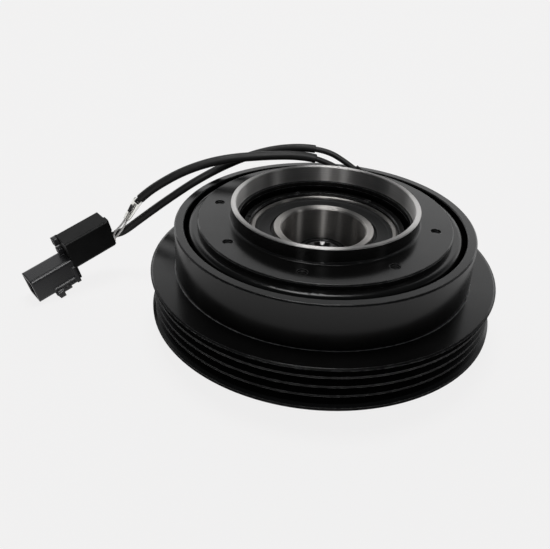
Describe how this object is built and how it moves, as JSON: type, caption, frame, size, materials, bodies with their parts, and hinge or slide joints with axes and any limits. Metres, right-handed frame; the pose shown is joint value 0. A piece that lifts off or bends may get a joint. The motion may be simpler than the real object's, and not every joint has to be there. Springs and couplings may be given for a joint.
{
  "type": "electromagnetic clutch",
  "caption": "Electromagnetic clutch: a V-grooved pulley on a double-row bearing, a ring coil with mounting collar, a splined hub with sprung armature plate, and two leads to a connector.",
  "frame": {"origin": "on the clutch axis, at the floor that the front rivet heads stand on", "axes": "+Z along the clutch axis towards the rear (coil side); -X towards the connector"},
  "size_m": [0.1755, 0.1232, 0.0523],
  "materials": {
    "black_coat": "satin black electro-coat; the collar's bore and end face are bare machined steel",
    "machined_steel": "turned",
    "bearing_steel": "ground",
    "ball_steel": "polished",
    "cage_nylon": "moulded",
    "seal_rubber": "matte moulded",
    "nylon": "moulded",
    "copper": "enamelled copper wire",
    "epoxy": "cast",
    "black_rubber": "matte",
    "friction": "pressed friction compound",
    "rivet_steel": "zinc plated",
    "spring_steel": "rolled",
    "armature_steel": "turned",
    "wire_insulation": "satin insulation",
    "pvc_sleeve": "satin PVC",
    "clear_sleeve": "clear heat-shrink",
    "tinned_copper": "tinned",
    "diode_case": "moulded",
    "seal_silicone": "translucent silicone",
    "connector_plastic": "moulded, satin"
  },
  "bodies": {
    "stator": {"coil_housing": "black_coat", "mounting_flange": "black_coat", "coil_bobbin": "nylon", "coil_winding": "copper", "coil_potting": "epoxy", "lead_grommet": "black_rubber", "bearing_inner_ring": "bearing_steel", "lead_a_wire": "wire_insulation", "lead_a_sleeve": "pvc_sleeve", "lead_b_wire": "wire_insulation", "lead_b_sleeve": "pvc_sleeve", "splice_sleeve": "clear_sleeve", "tinned_strands": "tinned_copper", "suppressor_diode": "diode_case", "connector_housing": "connector_plastic", "connector_retainer": "connector_plastic", "connector_terminals": "tinned_copper", "wire_seals": "seal_silicone"},
    "rotor": {"rotor": "black_coat", "pulley_band": "black_coat", "friction_lining": "friction", "bearing_outer_ring": "bearing_steel", "seal_rear": "seal_rubber", "seal_front": "seal_rubber"},
    "cage": {"bearing_balls": "ball_steel", "bearing_cages": "cage_nylon"},
    "hub": {"hub_boss": "machined_steel", "hub_plate": "black_coat", "hub_rivets": "rivet_steel", "rubber_stops": "black_rubber", "leaf_springs": "spring_steel"},
    "armature": {"armature_plate": "armature_steel", "armature_rivets": "rivet_steel"}
  },
  "joints": [
    {"name": "pulley_spin", "type": "hinge", "parent": "stator", "child": "rotor", "pos_m": [0, 0, 0.0261], "axis": [0, 0, 1], "continuous": true},
    {"name": "cage_spin", "type": "hinge", "parent": "stator", "child": "cage", "pos_m": [0, 0, 0.0261], "axis": [0, 0, 1], "continuous": true},
    {"name": "hub_spin", "type": "hinge", "parent": "stator", "child": "hub", "pos_m": [0, 0, 0], "axis": [0, 0, 1], "continuous": true},
    {"name": "armature_pull", "type": "slide", "parent": "hub", "child": "armature", "axis": [0, 0, 1], "range_m": [0, 0.00045], "stiffness_N_per_m": 8000, "springref_m": -0.0005, "deforming": ["leaf_springs"]}
  ],
  "couplings": [
    {"joint": "cage_spin", "follows": "pulley_spin", "ratio": 0.5707}
  ]
}
